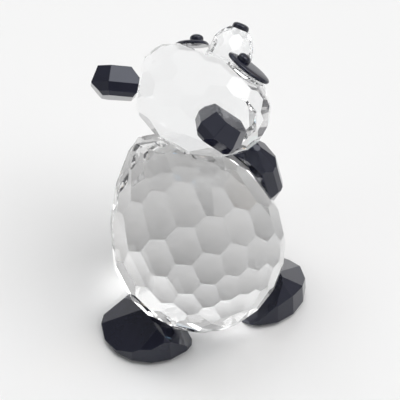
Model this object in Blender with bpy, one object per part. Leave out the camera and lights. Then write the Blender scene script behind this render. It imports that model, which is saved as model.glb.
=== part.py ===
"""Faceted crystal panda figurine, seated, built from fourteen cut stones.

The panda faces -Y, so its right side is on -X.  Sizes below are in
millimetres; the finished meshes are in metres, with +Z up, and the origin is
at the middle of the footprint box, at table height.
"""

import bpy
import bmesh
import math
from mathutils import Vector, Matrix

# ---------------------------------------------------------------- dimensions
MM = 0.001                     # millimetres to metres
GLUE = 0.3                     # clear space left between two glued faces

# Body: an egg that leans forward, with its narrow end up and to the front.
BODY_RADIUS = 14.45            # at the widest ring
BODY_LOWER = 15.2              # widest ring to the rounded rump
BODY_UPPER = 22.0              # widest ring to the narrow end
BODY_FLAT_TOP = 21.3           # where the narrow end is ground flat
BODY_EGG_POWER = 1.6           # 2 is an ellipse, less is more pointed
BODY_RISE = 30.0               # degrees, the long axis above the horizontal
BODY_HEIGHT = 14.4             # centre of the widest ring above the table
BODY_FACETS = 18               # facets in one ring
BODY_TURN = 4.9                # degrees, turn of the facet rings
BELLY_TURN = 57.0              # degrees below the horizontal that the belly's flat faces
BELLY_SIDE = 15.0              # degrees that it faces toward the panda's right
BELLY_FLAT = 1.9              # how deep that flat is ground
ARM_SEAT = 0.9                 # how deep the flats for arms and legs are ground
LEG_SEAT = 1.1
BODY_RINGS = (-75.0, -58.5, -42.5, -26.5, -8.4, 14.4, 28.6, 40.5, 54.0, 70.0)

# Head: a ball a little wider than high, turned to the panda's right.
HEAD_CENTRE = (-5.5, -11.2, 36.2)
HEAD_HALF = (12.5, 9.0, 9.7)   # half width ear to ear, front to back, height
HEAD_YAW = -59.0               # degrees, turn about the vertical
HEAD_PITCH = 31.5              # degrees, nose up
HEAD_ROLL = 8.0                # degrees, right side up
HEAD_FACETS = 16
HEAD_RINGS = (-67.0, -45.0, -22.5, 0.0, 22.5, 45.0, 67.0)
CHIN_FACES = (-0.30, 0.22, -0.93)      # side, front, up: the way that the chin's flat faces
CHIN_FLAT = 1.4                # how deep that flat is ground

# ---------------------------------------------------------------- geometry


def unit(v):
    return Vector(v).normalized()


def frame_from(axis, hint):
    """Right-handed frame with its third axis along `axis`."""
    ez = unit(axis)
    ex = unit(Vector(hint) - ez * ez.dot(Vector(hint)))
    ey = ez.cross(ex)
    return ex, ey, ez


def direction(frame, turn, latitude):
    """Unit vector at a turn about the frame's axis and a height above its equator."""
    ex, ey, ez = frame
    c = math.cos(latitude)
    return ex * (c * math.cos(turn)) + ey * (c * math.sin(turn)) + ez * math.sin(latitude)


def ring(frame, centre, count, latitude, distance, phase):
    """One ring of facet planes; `distance` may depend on the facet's direction."""
    planes = []
    for k in range(count):
        turn = 2.0 * math.pi * (k + phase) / count
        n = direction(frame, turn, math.radians(latitude))
        d = distance(n) if callable(distance) else distance
        planes.append((n, Vector(centre) + n * d))
    return planes


def ellipsoid(frame, half):
    """Distance from the centre to the tangent plane of an ellipsoid."""
    def distance(n):
        return math.sqrt(sum((half[i] * n.dot(frame[i])) ** 2 for i in range(3)))
    return distance


def egg_support(latitude, radius, length, power, steps=400):
    """Largest reach of a super-elliptic half profile in one direction."""
    c, s = math.cos(latitude), abs(math.sin(latitude))
    best = 0.0
    for i in range(steps + 1):
        t = i / steps
        w = length * t
        u = radius * max(0.0, 1.0 - t ** power) ** (1.0 / power)
        best = max(best, u * c + w * s)
    return best


def stone(name, centre, planes, reach, colour, clear):
    """Grind a block down to the convex stone inside all of the planes."""
    bm = bmesh.new()
    bmesh.ops.create_cube(bm, size=2.0 * reach)
    bmesh.ops.translate(bm, verts=bm.verts, vec=Vector(centre))
    for normal, point in planes:
        bmesh.ops.bisect_plane(
            bm, geom=bm.verts[:] + bm.edges[:] + bm.faces[:], dist=1e-4,
            plane_co=point, plane_no=normal, clear_outer=True)
        rim = [e for e in bm.edges if e.is_boundary]
        if rim:
            bmesh.ops.holes_fill(bm, edges=rim, sides=0)
    bmesh.ops.remove_doubles(bm, verts=bm.verts, dist=2e-3)
    bmesh.ops.dissolve_degenerate(bm, edges=bm.edges, dist=1e-4)
    bmesh.ops.recalc_face_normals(bm, faces=bm.faces)
    mesh = bpy.data.meshes.new(name)
    bm.to_mesh(mesh)
    bm.free()
    mesh.materials.append(crystal(name, colour, clear))
    obj = bpy.data.objects.new(name, mesh)
    bpy.context.scene.collection.objects.link(obj)
    return obj


def crystal(name, colour, clear):
    mat = bpy.data.materials.new(name)
    mat.use_nodes = True
    shader = mat.node_tree.nodes["Principled BSDF"]
    shader.inputs["Base Color"].default_value = (*colour, 1.0)
    shader.inputs["Roughness"].default_value = 0.02
    shader.inputs["Metallic"].default_value = 0.0
    shader.inputs["IOR"].default_value = 1.55
    shader.inputs["Transmission Weight"].default_value = 1.0 if clear else 0.0
    return mat


CLEAR = (0.97, 0.98, 1.0)
JET = (0.012, 0.012, 0.016)


def glue_joint(normal, point):
    """Two facing planes, one for the stone behind the joint, one for the stone in front."""
    n = unit(normal)
    p = Vector(point)
    return (n, p - n * (GLUE / 2)), (-n, p + n * (GLUE / 2))


# ---------------------------------------------------------------- frames

TABLE = (Vector((0, 0, -1)), Vector((0, 0, 0)))

BODY_CENTRE = Vector((0.0, 0.0, BODY_HEIGHT))
rise = math.radians(BODY_RISE)
BODY_FRAME = frame_from((0.0, -math.cos(rise), math.sin(rise)), (-1.0, 0.0, 0.0))


def head_frame():
    """Columns: toward the panda's right ear, out of the face, up through the crown."""
    turn = (Matrix.Rotation(math.radians(HEAD_YAW), 3, 'Z')
            @ Matrix.Rotation(math.radians(-HEAD_PITCH), 3, 'X')
            @ Matrix.Rotation(math.radians(HEAD_ROLL), 3, 'Y'))
    return (turn @ Vector((-1, 0, 0)), turn @ Vector((0, -1, 0)), turn @ Vector((0, 0, 1)))


HEAD_E, HEAD_N, HEAD_T = head_frame()
HEAD_C = Vector(HEAD_CENTRE)


def on_head(e, n, t):
    return HEAD_E * e + HEAD_N * n + HEAD_T * t


HEAD_SURFACE = ellipsoid((HEAD_E, HEAD_N, HEAD_T), HEAD_HALF)


def head_normal(d):
    """Outward normal of the head's surface where the direction meets it."""
    return unit(sum((a * (d.dot(a) / h ** 2) for a, h in
                     zip((HEAD_E, HEAD_N, HEAD_T), HEAD_HALF)), Vector()))


def head_reach(d):
    """Distance from the head's centre to its surface along a direction."""
    d = unit(d)
    return 1.0 / math.sqrt(sum((d.dot(a) / h) ** 2 for a, h in
                               zip((HEAD_E, HEAD_N, HEAD_T), HEAD_HALF)))


def egg_reach(d):
    """Distance from the body's centre to the egg's surface along a direction."""
    d = unit(d)
    w = d.dot(BODY_FRAME[2])
    u = math.sqrt(max(0.0, 1.0 - w * w))
    length, power = (BODY_UPPER, BODY_EGG_POWER) if w > 0 else (BODY_LOWER, 2.0)
    lo, hi = 0.0, 3.0 * BODY_UPPER
    for _ in range(60):
        mid = (lo + hi) / 2
        if (mid * u / BODY_RADIUS) ** power + (mid * abs(w) / length) ** power < 1.0:
            lo = mid
        else:
            hi = mid
    return lo


def egg_planes():
    planes = []
    for i, latitude in enumerate(BODY_RINGS):
        lat = math.radians(latitude)
        if latitude > 0:
            d = egg_support(lat, BODY_RADIUS, BODY_UPPER, BODY_EGG_POWER)
        else:
            d = egg_support(lat, BODY_RADIUS, BODY_LOWER, 2.0)
        count = BODY_FACETS // 2 if abs(latitude) > 60 else BODY_FACETS
        phase = 0.5 * (i % 2) + BODY_TURN * count / 360.0
        planes += ring(BODY_FRAME, BODY_CENTRE, count, latitude, d, phase)
    axis = BODY_FRAME[2]
    planes.append((axis, BODY_CENTRE + axis * BODY_FLAT_TOP))
    planes.append((-axis, BODY_CENTRE - axis * BODY_LOWER))
    return planes


def tangent_on_egg(d, depth):
    """A glue plane square to `d`, `depth` inside the egg's tangent plane there."""
    d = unit(d)
    w = d.dot(BODY_FRAME[2])
    lat = math.asin(max(-1.0, min(1.0, w)))
    if w > 0:
        h = egg_support(lat, BODY_RADIUS, BODY_UPPER, BODY_EGG_POWER)
    else:
        h = egg_support(lat, BODY_RADIUS, BODY_LOWER, 2.0)
    return glue_joint(d, BODY_CENTRE + d * (h - depth))


# Ears
EAR_PLACE = (0.782, -0.328, 0.530)     # direction on the head: side, front, up
EAR_SINK = 0.5                 # glue face below the head's surface
EAR_LENGTH = 7.9
EAR_HALF = (2.85, 3.9)         # ridge to the front face, half width
EAR_REAR = 2.15                # ridge to the back face
EAR_RIM = (0.0, 52.0, -52.0, 97.0, -97.0)     # degrees from the tip around the rim
EAR_FRONT = 18.0               # degrees, slope of the rim facets toward the front
EAR_BACK = (14.0, 47.0)        # the same for the two tiers behind the ridge
EAR_TIER = 1.5                 # how far behind the ridge the second tier starts
EAR_TIP = (0.9, 2.0)           # chamfers at the tip, front and back
EAR_LEAN = 0.13                # how far the ear leans back from straight out of the head
EAR_ROOT = (1.5, 1.0)          # chamfer at the root: along the ear, and half thickness left

# Snout and nose
SNOUT_DROP = 0.16              # how far below the face's middle it starts
SNOUT_TILT = 0.24              # how far its axis turns up again
SNOUT_RADIUS = 3.8             # at the face
SNOUT_DOME = 6.5               # length that its rounded profile would reach
SNOUT_SINK = 1.1
SNOUT_LENGTH = 5.9             # face to nose
SNOUT_FACETS = 10
SNOUT_SIDE = 3.85              # from its axis to the flats that the eye patches meet
NOSE_RADIUS = 1.45
NOSE_THICK = 0.8

# Eyes
EYE_PLACE = (0.606, 0.786, 0.123)
PATCH_HALF = (4.2, 2.7)
PATCH_THICK = 0.8
PATCH_SINK = 0.5
PATCH_LIFT = 10.0              # degrees that a patch faces up from the head's surface
PATCH_SLANT = 35.0
EYE_RADIUS = 1.15
EYE_HEIGHT = 0.85
EYE_SHIFT = 1.5                # toward the snout from the middle of the patch

# Arms: where the middle of each pad lies from the body's centre, the way its
# length runs, and its half length, half width and half thickness.  The right
# arm hangs at the side, the left one is laid across the belly.
ARMS = {
    "right": ((-14.2, -9.3, 3.5), (0.05, -0.10, 1.0), (8.5, 5.6, 3.2)),
    "left": ((3.4, -15.3, -3.2), (0.75, 0.10, 0.55), (6.4, 3.9, 2.6)),
}

# Legs
LEG_PLACE = (10.1, 2.7)
LEG_RADIUS = 8.5
LEG_FOOT = 1.0                 # height of the upright wall at the foot, in front
LEG_WALL = 1.5                 # mean height of that wall
LEG_HAUNCH = 3.4               # how much it rises to the haunch, behind
LEG_HAUNCH_TURN = {"right": 70.0, "left": 100.0}      # degrees from straight out to the haunch
LEG_SLOPE = 38.0               # degrees, mean slope of the facets above the wall
LEG_STEEPER = 5.0              # how much steeper they are on the haunch
LEG_INSTEP_TURN = {"right": -100.0, "left": -66.0}    # degrees from straight out to the long front facet
LEG_INSTEP_SLOPE = 58.0        # degrees, slope of that facet
LEG_INSTEP = 8.1               # from the middle of the foot to its edge on the table
LEG_TOP = 9.6
LEG_FACETS = 16                # sides of the foot
LEG_SLOPES = 8                 # facets above the wall


def build():
    for obj in list(bpy.data.objects):
        bpy.data.objects.remove(obj, do_unlink=True)

    body = egg_planes()
    body.append(TABLE)
    belly, aside = math.radians(BELLY_TURN), math.radians(BELLY_SIDE)
    belly = Vector((-math.sin(aside) * math.cos(belly), -math.cos(aside) * math.cos(belly), -math.sin(belly)))
    body.append(tangent_on_egg(belly, BELLY_FLAT)[0])

    # head on body
    to_head = unit(HEAD_C - BODY_CENTRE)
    span = (HEAD_C - BODY_CENTRE).length
    neck_at = (egg_reach(to_head) + span - head_reach(-to_head)) / 2
    below, above = glue_joint(to_head, BODY_CENTRE + to_head * neck_at)
    body.append(below)
    head = [above]
    head_axis_frame = (HEAD_E, -HEAD_T, HEAD_N)
    for i, latitude in enumerate(HEAD_RINGS):
        count = HEAD_FACETS // 2 if abs(latitude) > 60 else HEAD_FACETS
        head += ring(head_axis_frame, HEAD_C, count, latitude, HEAD_SURFACE, 0.5 * (i % 2))
    head.append((HEAD_N, HEAD_C + HEAD_N * HEAD_HALF[1]))
    head.append((-HEAD_N, HEAD_C - HEAD_N * HEAD_HALF[1]))
    chin = unit(on_head(*CHIN_FACES))
    head.append((chin, HEAD_C + chin * (HEAD_SURFACE(chin) - CHIN_FLAT)))

    parts = []

    # snout and nose
    place = unit(on_head(0, 1, -SNOUT_DROP))
    axis = unit(on_head(0, 1, SNOUT_TILT))
    base = HEAD_C + place * (head_reach(place) - SNOUT_SINK)
    under, over = glue_joint(axis, base)
    head.append(under)
    sframe = frame_from(axis, HEAD_E)
    dome = ellipsoid(sframe, (SNOUT_RADIUS, SNOUT_RADIUS, SNOUT_DOME))
    snout = [over]
    for i, latitude in enumerate((6.0, 22.0, 42.0)):
        snout += ring(sframe, base, SNOUT_FACETS, latitude, dome, 0.5 * (i % 2))
    tip = base + axis * SNOUT_LENGTH
    nose_low, nose_high = glue_joint(axis, tip)
    snout.append(nose_low)
    parts.append(("snout", base, snout, 9.0, CLEAR, True))
    nose = [nose_high]
    cap = ellipsoid(sframe, (NOSE_RADIUS, NOSE_RADIUS, NOSE_THICK * 1.25))
    for i, latitude in enumerate((0.0, 35.0, 62.0)):
        nose += ring(sframe, tip + axis * (GLUE / 2), 14, latitude, cap, 0.5 * (i % 2))
    nose.append((axis, tip + axis * (GLUE / 2 + NOSE_THICK)))
    parts.append(("nose", tip, nose, 4.0, JET, False))

    for side, label in ((1, "right"), (-1, "left")):
        # ear
        d = unit(on_head(side * EAR_PLACE[0], EAR_PLACE[1], EAR_PLACE[2]))
        root = HEAD_C + d * (head_reach(d) - EAR_SINK)
        low, high = glue_joint(d, root)
        head.append(low)
        d = unit(d - HEAD_N * EAR_LEAN)
        fore, across, _ = frame_from(d, HEAD_N)
        mid = root + d * (EAR_LENGTH / 2)
        ear = [high, (fore, mid + fore * EAR_HALF[0]), (-fore, mid - fore * EAR_REAR)]
        for turn in map(math.radians, EAR_RIM):
            out = d * math.cos(turn) + across * math.sin(turn)
            rim = mid + out * math.hypot(EAR_LENGTH / 2 * math.cos(turn), EAR_HALF[1] * math.sin(turn))
            slope = math.radians(EAR_FRONT)
            ear.append((out * math.cos(slope) + fore * math.sin(slope), rim))
            for tier, slope in enumerate(map(math.radians, EAR_BACK)):
                ear.append((out * math.cos(slope) - fore * math.sin(slope),
                            rim - (fore * EAR_TIER + out * (EAR_TIER * math.tan(math.radians(EAR_BACK[0])))) * tier))
        for way in (fore, -fore):
            heel = unit(way * EAR_ROOT[0] - d * (EAR_HALF[0] - EAR_ROOT[1]))
            ear.append((heel, root + way * EAR_ROOT[1]))
        tip_at = mid + d * (EAR_LENGTH / 2)
        ear.append((unit(d + fore), tip_at + fore * (EAR_HALF[0] - EAR_TIP[0])))
        ear.append((unit(d - fore), tip_at - fore * (EAR_REAR - EAR_TIP[1])))
        parts.append(("ear_" + label, mid, ear, 9.0, JET, False))

        # eye patch and eye
        d = unit(on_head(side * EYE_PLACE[0], EYE_PLACE[1], EYE_PLACE[2]))
        surface = HEAD_C + d * head_reach(d)
        d = unit(head_normal(d) + HEAD_T * math.tan(math.radians(PATCH_LIFT)))
        root = surface - d * PATCH_SINK
        low, high = glue_joint(d, root)
        head.append(low)
        slant = math.radians(PATCH_SLANT)
        side_dir = HEAD_E * side
        along = side_dir * math.cos(slant) - HEAD_T * math.sin(slant)
        pframe = frame_from(d, along)
        outline = ellipsoid(pframe, (PATCH_HALF[0], PATCH_HALF[1], 1.0))
        patch = [high]
        across = surface - base
        low, high = glue_joint(across - axis * across.dot(axis), base)
        snout.append((low[0], low[1] + low[0] * SNOUT_SIDE))
        patch.append((high[0], high[1] - high[0] * SNOUT_SIDE))
        patch += ring(pframe, root, 20, 0.0, outline, 0.5)
        for latitude, share in ((30.0, 1.0), (60.0, 0.985)):
            edge = root + d * (PATCH_THICK * 0.5)
            patch += ring(pframe, edge, 20, latitude, lambda n: outline(n) * share
                          + PATCH_THICK * 0.5 * (n.dot(d) - n.dot(d) ** 2) * 0.6, 0.5)
        top = root + d * (PATCH_THICK + GLUE / 2)
        patch.append((d, top))
        parts.append(("eye_patch_" + label, root, patch, 5.0, JET, False))
        eye_root = top + d * (GLUE / 2) - pframe[0] * EYE_SHIFT
        _, eye_low = glue_joint(d, eye_root)
        eye = [eye_low]
        ball = ellipsoid(pframe, (EYE_RADIUS, EYE_RADIUS, EYE_HEIGHT))
        for i, latitude in enumerate((8.0, 33.0, 58.0, 76.0)):
            eye += ring(pframe, eye_root, 12, latitude, ball, 0.5 * (i % 2))
        parts.append(("eye_" + label, eye_root, eye, 3.0, JET, False))

        # arm
        place, run, half = ARMS[label]
        centre = BODY_CENTRE + Vector(place)
        outward = unit(place)
        low, high = tangent_on_egg(outward, ARM_SEAT)
        body.append(low)
        run = Vector(run)
        long_axis = unit(run - outward * run.dot(outward))
        aframe = (long_axis.cross(outward), outward, long_axis)
        hull = ellipsoid(aframe, (half[1], half[2], half[0]))
        arm = [high]
        for i, latitude in enumerate((-60.0, -28.0, 0.0, 28.0, 60.0)):
            arm += ring(aframe, centre, 10, latitude, hull, 0.5 * (i % 2))
        arm.append((long_axis, centre + long_axis * half[0]))
        arm.append((-long_axis, centre - long_axis * half[0]))
        parts.append(("arm_" + label, centre, arm, 12.0, JET, False))

        # leg
        centre = Vector((-side * LEG_PLACE[0], LEG_PLACE[1], 0.0))
        to_leg = unit(Vector((-side * 0.70, 0.0, -0.72)))
        low, high = tangent_on_egg(to_leg, LEG_SEAT)
        body.append(low)
        lframe = (Vector((-side, 0, 0)), Vector((0, -side, 0)), Vector((0, 0, 1)))
        leg = [high, TABLE]
        leg += ring(lframe, centre + Vector((0, 0, 0.9)), LEG_FACETS, -50.0,
                    LEG_RADIUS * math.cos(math.radians(50)), 0.5)
        leg += ring(lframe, centre, LEG_FACETS, 4.0, LEG_RADIUS, 0.5)
        for k in range(LEG_SLOPES):
            turn = 2.0 * math.pi * k / LEG_SLOPES
            out = Vector((-side * math.cos(turn), math.sin(turn), 0.0))
            lean = math.cos(turn - math.radians(LEG_HAUNCH_TURN[label]))
            wall = max(LEG_FOOT, LEG_WALL + LEG_HAUNCH * lean)
            slope = math.radians(90.0 - LEG_SLOPE - LEG_STEEPER * lean)
            n = out * math.cos(slope) + Vector((0, 0, math.sin(slope)))
            leg.append((n, centre + out * LEG_RADIUS + Vector((0, 0, wall))))
        turn, slope = math.radians(LEG_INSTEP_TURN[label]), math.radians(90.0 - LEG_INSTEP_SLOPE)
        out = Vector((-side * math.cos(turn), math.sin(turn), 0.0))
        leg.append((out * math.cos(slope) + Vector((0, 0, math.sin(slope))), centre + out * LEG_INSTEP))
        leg.append((Vector((0, 0, 1)), centre + Vector((0, 0, LEG_TOP))))
        parts.append(("leg_" + label, centre, leg, 14.0, JET, False))

    parts.append(("head", HEAD_C, head, 16.0, CLEAR, True))
    parts.append(("body", BODY_CENTRE, body, 26.0, CLEAR, True))

    made = [stone(*p) for p in parts]

    # origin at the middle of the footprint box, at table height
    corners = [v.co for o in made for v in o.data.vertices]
    shift = Vector((-(min(c.x for c in corners) + max(c.x for c in corners)) / 2,
                    -(min(c.y for c in corners) + max(c.y for c in corners)) / 2,
                    -min(c.z for c in corners)))
    for o in made:
        o.data.transform(Matrix.Scale(MM, 4) @ Matrix.Translation(shift))
    return made, shift


BUILT, SHIFT = build()
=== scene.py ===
"""Looks of the faceted crystal panda: clear and jet-black cut stones, the clear
glue between them, a plain pale table and soft studio light.

Lengths in this file are in millimetres until they meet Blender, in metres.
"""

import math

import bpy
import bmesh
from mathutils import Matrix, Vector


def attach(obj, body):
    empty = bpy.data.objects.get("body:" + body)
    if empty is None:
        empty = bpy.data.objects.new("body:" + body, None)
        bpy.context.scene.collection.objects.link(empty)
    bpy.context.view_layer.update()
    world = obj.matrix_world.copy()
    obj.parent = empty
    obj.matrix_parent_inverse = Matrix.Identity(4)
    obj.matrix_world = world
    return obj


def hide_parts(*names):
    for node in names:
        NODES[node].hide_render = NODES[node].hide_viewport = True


MM = 0.001

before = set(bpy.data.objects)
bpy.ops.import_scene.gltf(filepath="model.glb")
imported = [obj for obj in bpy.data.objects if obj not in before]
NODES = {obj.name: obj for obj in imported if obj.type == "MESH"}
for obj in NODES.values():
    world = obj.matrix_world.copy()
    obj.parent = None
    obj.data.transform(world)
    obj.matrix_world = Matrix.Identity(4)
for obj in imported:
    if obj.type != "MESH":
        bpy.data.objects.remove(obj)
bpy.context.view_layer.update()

CLEAR_NODES = ("body", "head", "snout")
BLACK_NODES = ("nose", "ear_left", "ear_right", "eye_patch_left", "eye_patch_right",
               "eye_left", "eye_right", "arm_left", "arm_right", "leg_left", "leg_right")

# ---------------------------------------------------------------- camera
AZIMUTH = 156.0                # degrees, from straight in front of the chest
ELEVATION = 46.0
DISTANCE = 300.0
FOCAL_PIXELS = 1764.7          # on a 400 pixel wide picture
LOOK_AT = Vector((-2.253, -0.598, 19.478))


def add_camera():
    a, e = math.radians(AZIMUTH), math.radians(ELEVATION)
    toward = Vector((math.sin(a) * math.cos(e), -math.cos(a) * math.cos(e), math.sin(e)))
    data = bpy.data.cameras.new("camera")
    data.sensor_fit = 'HORIZONTAL'
    data.sensor_width = 36.0
    data.lens = FOCAL_PIXELS * 36.0 / 400.0
    data.clip_start = 0.01
    data.clip_end = 50.0
    cam = bpy.data.objects.new("camera", data)
    bpy.context.scene.collection.objects.link(cam)
    cam.location = (LOOK_AT + toward * DISTANCE) * MM
    cam.rotation_mode = 'QUATERNION'
    cam.rotation_quaternion = (-toward).to_track_quat('-Z', 'Y')
    bpy.context.scene.camera = cam


# ---------------------------------------------------------------- node helpers


def new_material(name):
    mat = bpy.data.materials.new(name)
    mat.use_nodes = True
    tree = mat.node_tree
    return mat, tree, tree.nodes["Principled BSDF"]


def noise(tree, scale, detail=2.0, rough=0.5, where=(-900, 0)):
    coord = tree.nodes.new("ShaderNodeTexCoord")
    coord.location = (where[0] - 200, where[1])
    tex = tree.nodes.new("ShaderNodeTexNoise")
    tex.location = where
    tex.inputs["Scale"].default_value = scale
    tex.inputs["Detail"].default_value = detail
    tex.inputs["Roughness"].default_value = rough
    tree.links.new(coord.outputs["Object"], tex.inputs["Vector"])
    return tex.outputs["Fac"]


def spread(tree, source, low, high, start=0.35, end=0.65):
    node = tree.nodes.new("ShaderNodeMapRange")
    node.inputs["From Min"].default_value = start
    node.inputs["From Max"].default_value = end
    node.inputs["To Min"].default_value = low
    node.inputs["To Max"].default_value = high
    tree.links.new(source, node.inputs["Value"])
    return node.outputs["Result"]


def ramp(tree, source, stops):
    node = tree.nodes.new("ShaderNodeValToRGB")
    elements = node.color_ramp.elements
    while len(elements) > 1:
        elements.remove(elements[-1])
    elements[0].position, elements[0].color = stops[0][0], (*stops[0][1], 1.0)
    for place, colour in stops[1:]:
        e = elements.new(place)
        e.color = (*colour, 1.0)
    tree.links.new(source, node.inputs["Fac"])
    return node.outputs["Color"]


# ---------------------------------------------------------------- materials
WORN_EDGE = 0.14                       # rounding of the black stones' edges
# Painted shade on the body's glass: a grey ramp along its leaning axis, darkest at the neck.
BODY_AXIS = (0.0, -0.866, 0.5)         # the way that the body leans
BODY_MIDDLE = 3.68                     # its widest ring, along that axis
BODY_REACH = 9.0
BODY_PAINTED_SHADE = (                        # rump to neck: painted shade, the body's glass greyed more and more towards the neck
    (0.0, (0.985, 0.983, 0.980)),
    (0.5, (0.900, 0.897, 0.893)),
    (1.0, (0.730, 0.726, 0.722)),
)


def clear_crystal(name, painted_shade=None):
    """Polished lead crystal, faintly streaked; the optional stops are painted shade, grey along the body's axis.
    """
    mat, tree, p = new_material(name)
    streaks = noise(tree, 160.0, 3.0, 0.5, (-900, 200))
    tint = ramp(tree, streaks, ((0.30, (0.982, 0.988, 0.992)), (0.70, (0.994, 0.996, 0.998))))
    # painted shade: grey ramp along the body's axis, darker towards the neck
    if painted_shade:
        coord = tree.nodes.new("ShaderNodeTexCoord")
        along = tree.nodes.new("ShaderNodeVectorMath")
        along.operation = 'DOT_PRODUCT'
        along.inputs[1].default_value = BODY_AXIS
        tree.links.new(coord.outputs["Object"], along.inputs[0])
        level = spread(tree, along.outputs["Value"], 0.0, 1.0,
                       (BODY_MIDDLE - BODY_REACH) * MM, (BODY_MIDDLE + BODY_REACH) * MM)
        mix = tree.nodes.new("ShaderNodeMix")
        mix.data_type = 'RGBA'
        mix.blend_type = 'MULTIPLY'
        mix.inputs["Factor"].default_value = 1.0
        tree.links.new(tint, mix.inputs["A"])
        tree.links.new(ramp(tree, level, painted_shade), mix.inputs["B"])
        tint = mix.outputs["Result"]
    tree.links.new(tint, p.inputs["Base Color"])
    p.inputs["Metallic"].default_value = 0.0
    p.inputs["Roughness"].default_value = 0.0
    p.inputs["IOR"].default_value = 1.56
    p.inputs["Transmission Weight"].default_value = 1.0
    return mat


def jet_crystal():
    """Opaque black crystal, polished, with a faint blue cast."""
    mat, tree, p = new_material("black_crystal")
    cloud = noise(tree, 220.0, 3.0, 0.55, (-900, 200))
    tint = ramp(tree, cloud, ((0.30, (0.0090, 0.0097, 0.0200)), (0.70, (0.0140, 0.0145, 0.0275))))
    tree.links.new(tint, p.inputs["Base Color"])
    haze = noise(tree, 420.0, 4.0, 0.6, (-900, -200))
    tree.links.new(spread(tree, haze, 0.03, 0.09), p.inputs["Roughness"])
    p.inputs["Metallic"].default_value = 0.0
    p.inputs["IOR"].default_value = 1.50
    p.inputs["Specular Tint"].default_value = (0.87, 0.91, 1.0, 1.0)
    worn = tree.nodes.new("ShaderNodeBevel")
    worn.samples = 6
    worn.inputs["Radius"].default_value = WORN_EDGE * MM
    tree.links.new(worn.outputs["Normal"], p.inputs["Normal"])
    return mat


def table_surface():
    mat, tree, p = new_material("table")
    cloud = noise(tree, 3.0, 2.0, 0.5, (-900, 200))
    tint = ramp(tree, cloud, ((0.30, (0.846, 0.846, 0.847)), (0.70, (0.856, 0.856, 0.857))))
    tree.links.new(tint, p.inputs["Base Color"])
    p.inputs["Roughness"].default_value = 0.6
    p.inputs["Specular IOR Level"].default_value = 0.2
    return mat


# ---------------------------------------------------------------- glue films
GLUE = 0.3                     # clear space between two stones in the CAD
OVERLAP = 0.02                 # how far a film runs into each stone
FILM_SHARE = 0.985             # film width against the shared face
DROP_SHARE = 0.4               # the same where the glue is only a drop in the middle


def flat_faces(obj):
    """The object's flat faces: (normal, offset, outline corner points), in millimetres."""
    groups = []
    for poly in obj.data.polygons:
        n = Vector(poly.normal)
        pts = [obj.data.vertices[i].co / MM for i in poly.vertices]
        d = n.dot(pts[0])
        for g in groups:
            if g[0].dot(n) > 0.9999 and abs(g[1] - d) < 0.02:
                g[2].extend(pts)
                break
        else:
            groups.append([n, d, pts])
    return groups


def convex_outline(points, ex, ey):
    """Corners of the convex hull of some coplanar points, in plane coordinates."""
    flat = sorted({(round(p.dot(ex), 4), round(p.dot(ey), 4)) for p in points})

    def half(seq):
        out = []
        for p in seq:
            while len(out) > 1 and ((out[-1][0] - out[-2][0]) * (p[1] - out[-2][1])
                                    - (out[-1][1] - out[-2][1]) * (p[0] - out[-2][0])) <= 1e-6:
                out.pop()
            out.append(p)
        return out
    return half(flat)[:-1] + half(flat[::-1])[:-1]


def clip(subject, window):
    """Part of one convex outline inside another (both anticlockwise)."""
    out = list(subject)
    for (ax, ay), (bx, by) in zip(window, window[1:] + window[:1]):
        source, out = out, []
        for p, q in zip(source, source[1:] + source[:1]):
            sp = (bx - ax) * (p[1] - ay) - (by - ay) * (p[0] - ax)
            sq = (bx - ax) * (q[1] - ay) - (by - ay) * (q[0] - ax)
            if sp >= 0:
                out.append(p)
            if sp * sq < 0:
                t = sp / (sp - sq)
                out.append((p[0] + (q[0] - p[0]) * t, p[1] + (q[1] - p[1]) * t))
        if not out:
            return []
    return out


def shared_face(a, b):
    """The glue face between two stones: (normal from a to b, plane offsets, outline, axes)."""
    best = None
    for n, d, pts in flat_faces(a):
        for m, e, qts in flat_faces(b):
            if n.dot(m) > -0.9999 or abs(-e - d - GLUE) > 0.03:
                continue
            ex = n.orthogonal().normalized()
            ey = n.cross(ex)
            both = clip(convex_outline(pts, ex, ey), convex_outline(qts, ex, ey))
            if len(both) < 3:
                continue
            area = 0.5 * sum(p[0] * q[1] - q[0] * p[1] for p, q in zip(both, both[1:] + both[:1]))
            if best is None or area > best[0]:
                best = (area, n, d, -e, both, ex, ey)
    return best


def glue_film(name, a, b, material, share=FILM_SHARE):
    found = shared_face(NODES[a], NODES[b])
    if found is None:
        raise RuntimeError("no glue face between %s and %s" % (a, b))
    _, n, low, high, outline, ex, ey = found
    cx = sum(p[0] for p in outline) / len(outline)
    cy = sum(p[1] for p in outline) / len(outline)
    bm = bmesh.new()
    layers = []
    for level in (low - OVERLAP, high + OVERLAP):
        layers.append([bm.verts.new((ex * (cx + (x - cx) * share) + ey * (cy + (y - cy) * share)
                                     + n * level) * MM) for x, y in outline])
    count = len(outline)
    bm.faces.new(layers[0][::-1])
    bm.faces.new(layers[1])
    for i in range(count):
        j = (i + 1) % count
        bm.faces.new((layers[0][i], layers[0][j], layers[1][j], layers[1][i]))
    bmesh.ops.recalc_face_normals(bm, faces=bm.faces)
    mesh = bpy.data.meshes.new(name)
    bm.to_mesh(mesh)
    bm.free()
    mesh.materials.append(material)
    obj = bpy.data.objects.new(name, mesh)
    bpy.context.scene.collection.objects.link(obj)
    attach(obj, "root")
    return obj


# ---------------------------------------------------------------- polished cabochons
CABOCHON_TURN = 96             # points round the rim
CABOCHON_RISE = 22             # rings from the rim to the top


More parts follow.
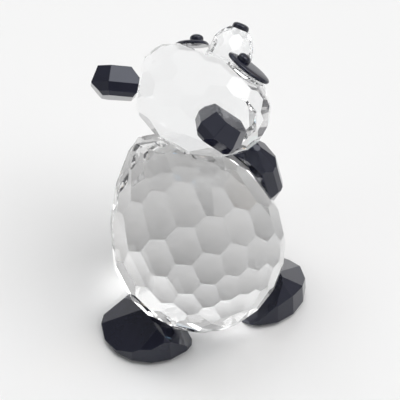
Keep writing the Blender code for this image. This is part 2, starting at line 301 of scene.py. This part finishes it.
def cabochon(name, node, host, material, fullness, girdle, inside=0.985):
    """A smooth domed stone in place of a faceted one: the same glue face, outline and height.

    `fullness` sets how square its profile is, `girdle` how much of its height is the upright rim.
    """
    _, n, _, foot, _, ex, ey = shared_face(NODES[host], NODES[node])
    pts = [v.co / MM for v in NODES[node].data.vertices]
    height = (max(p.dot(n) for p in pts) - foot) * inside
    hull = convex_outline(pts, ex, ey)
    cx = (min(p[0] for p in hull) + max(p[0] for p in hull)) / 2
    cy = (min(p[1] for p in hull) + max(p[1] for p in hull)) / 2

    def reach(turn):
        c, s = math.cos(turn), math.sin(turn)
        best = 1e9
        for (ax, ay), (bx, by) in zip(hull, hull[1:] + hull[:1]):
            nx, ny = by - ay, ax - bx
            along = c * nx + s * ny
            if along > 1e-9:
                best = min(best, ((ax - cx) * nx + (ay - cy) * ny) / along)
        return best

    raw = [reach(2 * math.pi * k / CABOCHON_TURN) for k in range(CABOCHON_TURN)]
    weights = [math.exp(-(k / 2.6) ** 2) for k in range(-6, 7)]
    smooth = [inside * sum(w * raw[(k + j) % CABOCHON_TURN] for j, w in zip(range(-6, 7), weights)) / sum(weights)
              for k in range(CABOCHON_TURN)]

    profile = [(0.94, 0.0), (0.985, 0.05 * girdle + 0.02)]
    for i in range(CABOCHON_RISE):
        t = 0.5 * math.pi * i / CABOCHON_RISE
        profile.append((math.cos(t) ** (2.0 / fullness), girdle + (1.0 - girdle) * math.sin(t) ** (2.0 / 2.2)))
    bm = bmesh.new()
    rings = []
    for share, level in profile:
        rings.append([bm.verts.new((ex * (cx + smooth[k] * share * math.cos(2 * math.pi * k / CABOCHON_TURN))
                                    + ey * (cy + smooth[k] * share * math.sin(2 * math.pi * k / CABOCHON_TURN))
                                    + n * (foot + height * level)) * MM) for k in range(CABOCHON_TURN)])
    for low, high in zip(rings, rings[1:]):
        for k in range(CABOCHON_TURN):
            j = (k + 1) % CABOCHON_TURN
            bm.faces.new((low[k], low[j], high[j], high[k]))
    bm.faces.new(rings[0][::-1])
    top = bm.verts.new((ex * cx + ey * cy + n * (foot + height)) * MM)
    for k in range(CABOCHON_TURN):
        bm.faces.new((rings[-1][k], rings[-1][(k + 1) % CABOCHON_TURN], top))
    bmesh.ops.recalc_face_normals(bm, faces=bm.faces)
    for face in bm.faces:
        face.smooth = len(face.verts) < 5
    mesh = bpy.data.meshes.new(name)
    bm.to_mesh(mesh)
    bm.free()
    mesh.materials.append(material)
    obj = bpy.data.objects.new(name, mesh)
    bpy.context.scene.collection.objects.link(obj)
    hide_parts(node)
    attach(obj, "root")
    return obj


# ---------------------------------------------------------------- table and light


def add_table(material):
    bm = bmesh.new()
    bmesh.ops.create_grid(bm, x_segments=1, y_segments=1, size=3.0)
    mesh = bpy.data.meshes.new("table")
    bm.to_mesh(mesh)
    bm.free()
    mesh.materials.append(material)
    table = bpy.data.objects.new("table", mesh)
    bpy.context.scene.collection.objects.link(table)


# Soft panels around the table: (azimuth from the camera's side, turning toward the
# picture's right, elevation, half width in degrees, soft edge, brightness)
PANELS = (
    (88.0, 58.0, 22.0, 8.0, 2.75),
    (208.0, 62.0, 15.0, 6.0, 2.85),
    (52.0, 10.0, 20.0, 10.0, 0.32),
    (213.0, 4.0, 20.0, 10.0, 0.25),
)
# Unlit parts of the room: the same, with what is left of the light
DIM_SIDES = (
    (352.0, 44.0, 32.0, 14.0, 0.10),
    (253.0, 25.0, 20.0, 12.0, 0.45),
)
# Small tinted panels for the warm and cool sparks at the edges: the same, with a colour
SPARKS = (
    (128.0, 20.0, 8.0, 4.0, (0.80, 0.46, 0.06)),
    (168.0, 30.0, 6.0, 3.0, (0.03, 0.42, 0.80)),
    (278.0, 48.0, 6.0, 3.0, (0.03, 0.45, 0.42)),
)
WALL = 0.465
CEILING = 0.83


def math_node(tree, operation, *values):
    node = tree.nodes.new("ShaderNodeMath")
    node.operation = operation
    for socket, value in zip(node.inputs, values):
        if isinstance(value, (int, float)):
            socket.default_value = value
        else:
            tree.links.new(value, socket)
    return node.outputs["Value"]


def lobe(tree, vector, azimuth, elevation, half, edge):
    """1 inside a cone of directions, falling softly to 0 at its edge."""
    a, e = math.radians(AZIMUTH + azimuth), math.radians(elevation)
    dot = tree.nodes.new("ShaderNodeVectorMath")
    dot.operation = 'DOT_PRODUCT'
    dot.inputs[1].default_value = (math.sin(a) * math.cos(e), -math.cos(a) * math.cos(e), math.sin(e))
    tree.links.new(vector, dot.inputs[0])
    angle = math_node(tree, 'ARCCOSINE', dot.outputs["Value"])
    node = tree.nodes.new("ShaderNodeMapRange")
    node.interpolation_type = 'SMOOTHSTEP'
    node.inputs["From Min"].default_value = math.radians(half + edge)
    node.inputs["From Max"].default_value = math.radians(half - edge)
    tree.links.new(angle, node.inputs["Value"])
    return node.outputs["Result"]


def scaled(tree, colour, factor):
    node = tree.nodes.new("ShaderNodeVectorMath")
    node.operation = 'SCALE'
    node.inputs[0].default_value = colour
    tree.links.new(factor, node.inputs["Scale"])
    return node.outputs["Vector"]


def add_world():
    """Pale studio: soft panels overhead and to the sides, dimmer behind the camera."""
    world = bpy.data.worlds.new("studio")
    bpy.context.scene.world = world
    world.use_nodes = True
    tree = world.node_tree
    back = tree.nodes["Background"]
    coord = tree.nodes.new("ShaderNodeTexCoord")
    way = coord.outputs["Generated"]
    split = tree.nodes.new("ShaderNodeSeparateXYZ")
    tree.links.new(way, split.inputs["Vector"])
    level = spread(tree, split.outputs["Z"], WALL, CEILING, 0.0, 1.0)
    for azimuth, elevation, half, edge, left in DIM_SIDES:
        dark = lobe(tree, way, azimuth, elevation, half, edge)
        level = math_node(tree, 'MULTIPLY', level,
                          math_node(tree, 'SUBTRACT', 1.0, math_node(tree, 'MULTIPLY', dark, 1.0 - left)))
    for azimuth, elevation, half, edge, power in PANELS:
        panel = math_node(tree, 'MULTIPLY', lobe(tree, way, azimuth, elevation, half, edge), power)
        level = math_node(tree, 'ADD', level, panel)
    light = scaled(tree, (0.994, 0.99, 0.988), level)
    for azimuth, elevation, half, edge, colour in SPARKS:
        both = tree.nodes.new("ShaderNodeVectorMath")
        both.operation = 'ADD'
        tree.links.new(light, both.inputs[0])
        tree.links.new(scaled(tree, colour, lobe(tree, way, azimuth, elevation, half, edge)), both.inputs[1])
        light = both.outputs["Vector"]
    tree.links.new(light, back.inputs["Color"])
    back.inputs["Strength"].default_value = 1.0
    return world


# ---------------------------------------------------------------- make it all
CLEAR = clear_crystal("clear_crystal")
# the body's glass carries painted shade, darker towards the neck
SHADED_BODY_GLASS = clear_crystal("body_crystal_painted_shade", BODY_PAINTED_SHADE)
BLACK = jet_crystal()

for node in CLEAR_NODES:
    NODES[node].data.materials.clear()
    NODES[node].data.materials.append(SHADED_BODY_GLASS if node == "body" else CLEAR)
for node in BLACK_NODES:
    NODES[node].data.materials.clear()
    NODES[node].data.materials.append(BLACK)

glue_film("glue_neck", "body", "head", CLEAR)
glue_film("glue_snout", "head", "snout", CLEAR)
glue_film("glue_nose", "snout", "nose", BLACK)
for side in ("left", "right"):
    glue_film("glue_ear_" + side, "head", "ear_" + side, CLEAR, DROP_SHARE)
    glue_film("glue_patch_" + side, "head", "eye_patch_" + side, CLEAR, DROP_SHARE)
    glue_film("glue_eye_" + side, "eye_patch_" + side, "eye_" + side, BLACK)
    glue_film("glue_arm_" + side, "body", "arm_" + side, BLACK)
    glue_film("glue_leg_" + side, "body", "leg_" + side, BLACK)
    cabochon("polished_eye_patch_" + side, "eye_patch_" + side, "head", BLACK, 4.5, 0.35)
    cabochon("polished_eye_" + side, "eye_" + side, "eye_patch_" + side, BLACK, 2.0, 0.0)
cabochon("polished_nose", "nose", "snout", BLACK, 3.0, 0.15)

add_table(table_surface())
add_world()
add_camera()

scene = bpy.context.scene
scene.view_settings.view_transform = 'Standard'
scene.view_settings.look = 'None'
scene.cycles.max_bounces = 24
scene.cycles.transmission_bounces = 20
scene.cycles.glossy_bounces = 16
scene.cycles.diffuse_bounces = 4
scene.cycles.sample_clamp_indirect = 6.0
scene.cycles.blur_glossy = 0.0
